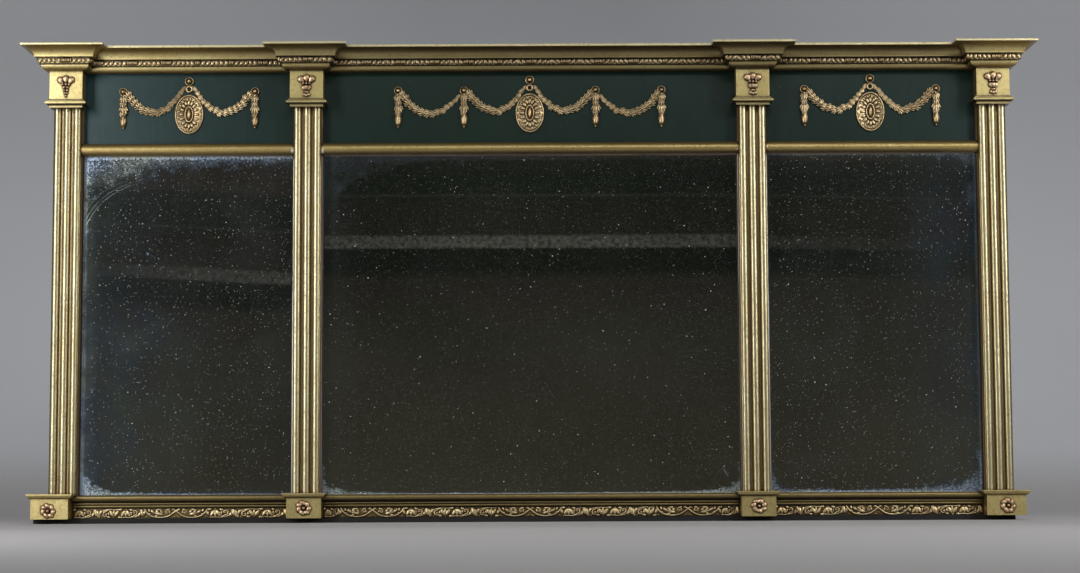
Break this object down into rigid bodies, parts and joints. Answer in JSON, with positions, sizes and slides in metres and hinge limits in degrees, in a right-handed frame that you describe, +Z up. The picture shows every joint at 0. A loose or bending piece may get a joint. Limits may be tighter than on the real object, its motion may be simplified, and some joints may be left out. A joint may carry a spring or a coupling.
{
  "type": "overmantel mirror",
  "caption": "Wide gilt overmantel mirror: reeded cluster columns divide the plates under a dark frieze hung with swags and a break-front cornice, on a moulded base, with hanging rings behind.",
  "frame": {"origin": "middle of the bottom rail's underside, halfway through the thickness of the carcass", "axes": "+X to the right, +Y away from the viewer towards the wall, +Z up"},
  "size_m": [1.4, 0.0878, 0.652],
  "materials": {
    "gilding": "worn oil and water gilding over red bole on pine",
    "compo": "worn coppery gilding on cast composition",
    "frieze": "dark green paint, aged satin",
    "plate": "old silvered plate with foxing",
    "slip": "silvered slip, slightly dull",
    "carcass": "aged pine, gilded where it shows in front",
    "backboard": "unfinished aged pine",
    "hanger": "tarnished",
    "screw": "dull, darkened"
  },
  "bodies": {
    "mirror": {"top_rail": "carcass", "bottom_rail": "carcass", "frieze_rail": "carcass", "left_stile": "carcass", "right_stile": "carcass", "left_muntin": "carcass", "right_muntin": "carcass", "left_outer_column": "gilding", "left_inner_column": "gilding", "right_inner_column": "gilding", "right_outer_column": "gilding", "neckings": "gilding", "left_outer_die": "gilding", "left_inner_die": "gilding", "right_inner_die": "gilding", "right_outer_die": "gilding", "left_outer_cap": "gilding", "left_inner_cap": "gilding", "right_inner_cap": "gilding", "right_outer_cap": "gilding", "left_cornice": "gilding", "centre_cornice": "gilding", "right_cornice": "gilding", "cap_laurel_bands": "compo", "left_laurel_band": "compo", "centre_laurel_band": "compo", "right_laurel_band": "compo", "left_outer_block": "gilding", "left_inner_block": "gilding", "right_inner_block": "gilding", "right_outer_block": "gilding", "left_base_moulding": "gilding", "centre_base_moulding": "gilding", "right_base_moulding": "gilding", "left_scroll_band": "compo", "centre_scroll_band": "compo", "right_scroll_band": "compo", "left_frieze_panel": "frieze", "centre_frieze_panel": "frieze", "right_frieze_panel": "frieze", "left_festoon": "compo", "centre_festoon": "compo", "right_festoon": "compo", "left_transom_bead": "gilding", "centre_transom_bead": "gilding", "right_transom_bead": "gilding", "left_mirror_plate": "plate", "centre_mirror_plate": "plate", "right_mirror_plate": "plate", "left_backboard": "backboard", "centre_backboard": "backboard", "right_backboard": "backboard", "rosettes": "compo", "urn_mounts": "compo", "glass_slips": "slip", "glazing_blocks": "carcass", "hanger_straps": "hanger", "screws": "screw"},
    "left_ring": {"left_hanger_ring": "hanger"},
    "right_ring": {"right_hanger_ring": "hanger"}
  },
  "joints": [
    {"name": "left_ring_swing", "type": "hinge", "parent": "mirror", "child": "left_ring", "pos_m": [-0.649, 0.0148, 0.48], "axis": [1, 0, 0], "range_deg": [0, 180]},
    {"name": "right_ring_swing", "type": "hinge", "parent": "mirror", "child": "right_ring", "pos_m": [0.649, 0.0148, 0.48], "axis": [1, 0, 0], "range_deg": [0, 180]}
  ]
}
